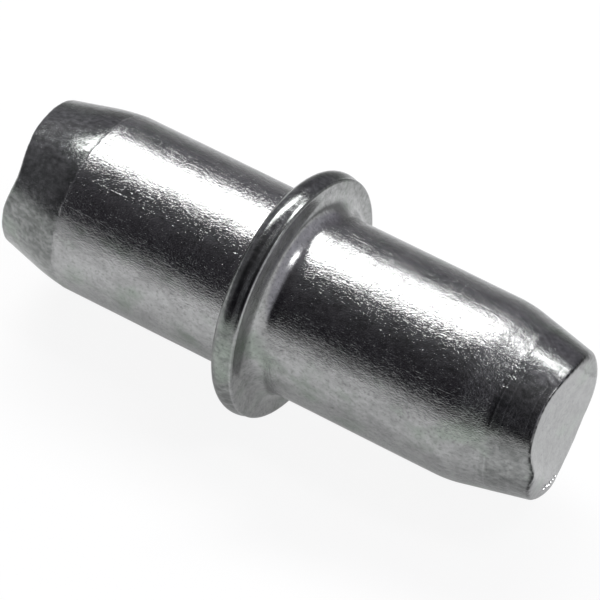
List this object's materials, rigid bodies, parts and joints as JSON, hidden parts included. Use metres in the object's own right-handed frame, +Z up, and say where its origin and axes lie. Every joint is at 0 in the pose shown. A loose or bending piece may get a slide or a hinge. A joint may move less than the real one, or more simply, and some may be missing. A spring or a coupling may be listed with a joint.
{
  "type": "shelf support pin",
  "caption": "Double-ended round steel pin with a rounded collar between two tapered spigots, pushed into a cabinet side to carry a shelf.",
  "frame": {"origin": "on the pin's axis, in the plane of the collar face that seats on the cabinet side", "axes": "+X along the pin's axis towards the shelf, -X into the cabinet side, +Z up as fitted"},
  "size_m": [0.0165, 0.0068, 0.0068],
  "materials": {
    "zinc_plated_steel": "bright zinc plating over cold-headed steel, fine orange-peel texture with drawing marks and small pits"
  },
  "bodies": {
    "root": {"shelf_pin": "zinc_plated_steel"}
  },
  "joints": []
}
